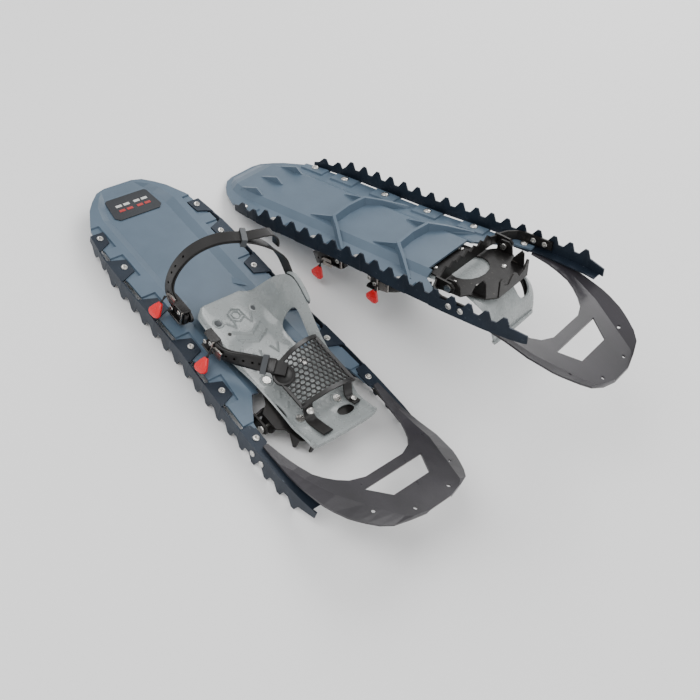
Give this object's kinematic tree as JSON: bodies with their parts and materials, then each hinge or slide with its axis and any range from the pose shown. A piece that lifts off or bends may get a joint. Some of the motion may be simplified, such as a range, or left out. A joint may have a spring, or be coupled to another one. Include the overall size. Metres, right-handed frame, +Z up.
{
  "type": "snowshoes",
  "caption": "Pair of snowshoes: moulded deck, toothed steel side rails, upturned toe cap, and a pivoting claw binding with heel and forefoot straps.",
  "frame": {"origin": "centre of the pair's bounding box in plan, on the floor", "axes": "+X from the right shoe's tail to its toe, +Y to the wearer's left, +Z up. The right shoe stands on its rails, and the left shoe lies turned over beside it, toe up"},
  "size_m": [0.6492, 0.4664, 0.1927],
  "materials": {
    "moulded_deck": "slate blue-grey injection-moulded plastic, slightly satin",
    "toe_plastic": "charcoal plastic with a fine lengthwise grain",
    "rail_steel": "blue-black painted steel",
    "claw_steel": "dark grey painted steel",
    "rivet_steel": "bare steel",
    "footbed_plastic": "cloudy grey flexible plastic",
    "strap_plastic": "black flexible plastic, punched with holes",
    "keeper_rubber": "mid-grey rubber",
    "buckle_plastic": "polished black",
    "lever_steel": "bare steel",
    "tab_plastic": "bright red, glossy",
    "cord_fibre": "black braided cord"
  },
  "bodies": {
    "right_shoe": {"right_deck": "moulded_deck", "right_toe_cap": "toe_plastic", "right_rail_outer": "rail_steel", "right_rail_inner": "rail_steel", "right_crossmember": "claw_steel", "right_pivot_pin_outer": "rivet_steel", "right_pivot_pin_inner": "rivet_steel"},
    "right_binding": {"right_crampon": "claw_steel", "right_base_plate": "footbed_plastic", "right_instep_net": "strap_plastic", "right_forefoot_strap": "strap_plastic", "right_forefoot_buckle": "buckle_plastic", "right_heel_strap": "strap_plastic", "right_heel_buckle": "buckle_plastic", "right_crampon_rivet_1": "rivet_steel", "right_crampon_rivet_2": "rivet_steel", "right_crampon_rivet_3": "rivet_steel", "right_crampon_rivet_4": "rivet_steel"},
    "right_heel_keeper": {"right_heel_keeper": "keeper_rubber"},
    "right_heel_lever": {"right_heel_lever": "lever_steel"},
    "right_heel_pull": {"right_heel_pull_cord": "cord_fibre", "right_heel_pull_tab": "tab_plastic"},
    "right_forefoot_keeper": {"right_forefoot_keeper": "keeper_rubber"},
    "right_forefoot_lever": {"right_forefoot_lever": "lever_steel"},
    "right_forefoot_pull": {"right_forefoot_pull_cord": "cord_fibre", "right_forefoot_pull_tab": "tab_plastic"},
    "left_shoe": {"left_deck": "moulded_deck", "left_toe_cap": "toe_plastic", "left_rail_outer": "rail_steel", "left_rail_inner": "rail_steel", "left_crossmember": "claw_steel", "left_pivot_pin_outer": "rivet_steel", "left_pivot_pin_inner": "rivet_steel"},
    "left_binding": {"left_crampon": "claw_steel", "left_base_plate": "footbed_plastic", "left_instep_net": "strap_plastic", "left_forefoot_strap": "strap_plastic", "left_forefoot_buckle": "buckle_plastic", "left_heel_strap": "strap_plastic", "left_heel_buckle": "buckle_plastic", "left_crampon_rivet_1": "rivet_steel", "left_crampon_rivet_2": "rivet_steel", "left_crampon_rivet_3": "rivet_steel", "left_crampon_rivet_4": "rivet_steel"},
    "left_heel_keeper": {"left_heel_keeper": "keeper_rubber"},
    "left_heel_lever": {"left_heel_lever": "lever_steel"},
    "left_heel_pull": {"left_heel_pull_cord": "cord_fibre", "left_heel_pull_tab": "tab_plastic"},
    "left_forefoot_keeper": {"left_forefoot_keeper": "keeper_rubber"},
    "left_forefoot_lever": {"left_forefoot_lever": "lever_steel"},
    "left_forefoot_pull": {"left_forefoot_pull_cord": "cord_fibre", "left_forefoot_pull_tab": "tab_plastic"}
  },
  "joints": [
    {"name": "right_binding_pivot", "type": "hinge", "parent": "right_shoe", "child": "right_binding", "pos_m": [0.09739, -0.13176, 0.015], "axis": [0, 1, 0], "range_deg": [0, 75]},
    {"name": "right_heel_keeper_slide", "type": "slide", "parent": "right_binding", "child": "right_heel_keeper", "axis": [-0.472, -0.8789, 0.0688], "range_m": [-0.003, 0.003]},
    {"name": "right_heel_lever_hinge", "type": "hinge", "parent": "right_binding", "child": "right_heel_lever", "pos_m": [-0.09061, -0.20336, 0.055], "axis": [0, 0, 1], "range_deg": [0, 18]},
    {"name": "right_heel_pull_swing", "type": "hinge", "parent": "right_heel_lever", "child": "right_heel_pull", "pos_m": [-0.10461, -0.20676, 0.055], "axis": [-0.9944, -0.0337, -0.1003], "range_deg": [0, 75]},
    {"name": "right_forefoot_keeper_slide", "type": "slide", "parent": "right_binding", "child": "right_forefoot_keeper", "axis": [-0.7814, -0.614, -0.1116], "range_m": [0, 0.002]},
    {"name": "right_forefoot_lever_hinge", "type": "hinge", "parent": "right_binding", "child": "right_forefoot_lever", "pos_m": [0.00539, -0.20336, 0.054], "axis": [0, 0, 1], "range_deg": [0, 35]},
    {"name": "right_forefoot_pull_swing", "type": "hinge", "parent": "right_forefoot_lever", "child": "right_forefoot_pull", "pos_m": [-0.00861, -0.20676, 0.053], "axis": [-0.9707, -0.0825, -0.2256], "range_deg": [0, 75]},
    {"name": "left_binding_pivot", "type": "hinge", "parent": "left_shoe", "child": "left_binding", "pos_m": [0.09941, 0.12178, 0.14625], "axis": [0.1392, -0.9903, 0], "range_deg": [0, 75]},
    {"name": "left_heel_keeper_slide", "type": "slide", "parent": "left_binding", "child": "left_heel_keeper", "axis": [-0.5008, -0.8618, -0.0804], "range_m": [-0.003, 0.003]},
    {"name": "left_heel_lever_hinge", "type": "hinge", "parent": "left_binding", "child": "left_heel_lever", "pos_m": [-0.05444, 0.02786, 0.04837], "axis": [-0.3159, -0.0444, 0.9478], "range_deg": [0, 18]},
    {"name": "left_heel_pull_swing", "type": "hinge", "parent": "left_heel_lever", "child": "left_heel_pull", "pos_m": [-0.06711, 0.02265, 0.04391], "axis": [-0.9903, -0.1392, 0], "range_deg": [0, 45]},
    {"name": "left_forefoot_keeper_slide", "type": "slide", "parent": "left_binding", "child": "left_forefoot_keeper", "axis": [-0.6832, -0.716, -0.1434], "range_m": [0, 0.002]},
    {"name": "left_forefoot_lever_hinge", "type": "hinge", "parent": "left_binding", "child": "left_forefoot_lever", "pos_m": [0.03534, 0.04048, 0.07994], "axis": [-0.3159, -0.0444, 0.9478], "range_deg": [0, 35]},
    {"name": "left_forefoot_pull_swing", "type": "hinge", "parent": "left_forefoot_lever", "child": "left_forefoot_pull", "pos_m": [0.02236, 0.03522, 0.07642], "axis": [-0.9903, -0.1392, 0], "range_deg": [0, 45]},
    {"name": "left_shoe_lift", "type": "slide", "parent": "right_shoe", "child": "left_shoe", "axis": [0, 0, 1], "range_m": [0, 0.3]}
  ]
}
